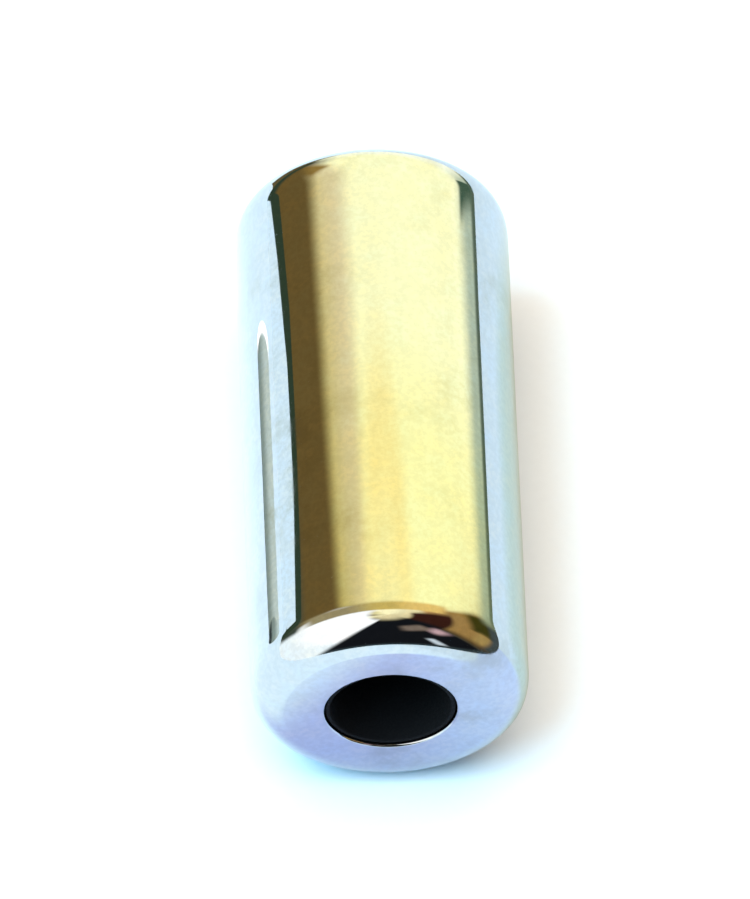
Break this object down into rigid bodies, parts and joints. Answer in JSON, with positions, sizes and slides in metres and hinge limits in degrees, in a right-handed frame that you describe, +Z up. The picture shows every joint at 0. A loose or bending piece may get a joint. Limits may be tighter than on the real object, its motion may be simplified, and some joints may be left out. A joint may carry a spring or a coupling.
{
  "type": "guitar slide",
  "caption": "Thick-walled, mirror-plated metal guitar slide with rounded ends and a narrow black-lined finger bore, lying on its side.",
  "frame": {"origin": "middle of the line that the slide rests on when it lies on its side", "axes": "+Y along the slide's axis, from the near end to the far end; +Z up; +X to the right seen from the near end"},
  "size_m": [0.032, 0.069, 0.032],
  "materials": {
    "chrome_plating": "mirror-polished chrome plating on solid metal",
    "black_rubber": "matt black soft lining"
  },
  "bodies": {
    "root": {"slide_body": "chrome_plating", "finger_sleeve": "black_rubber"}
  },
  "joints": []
}
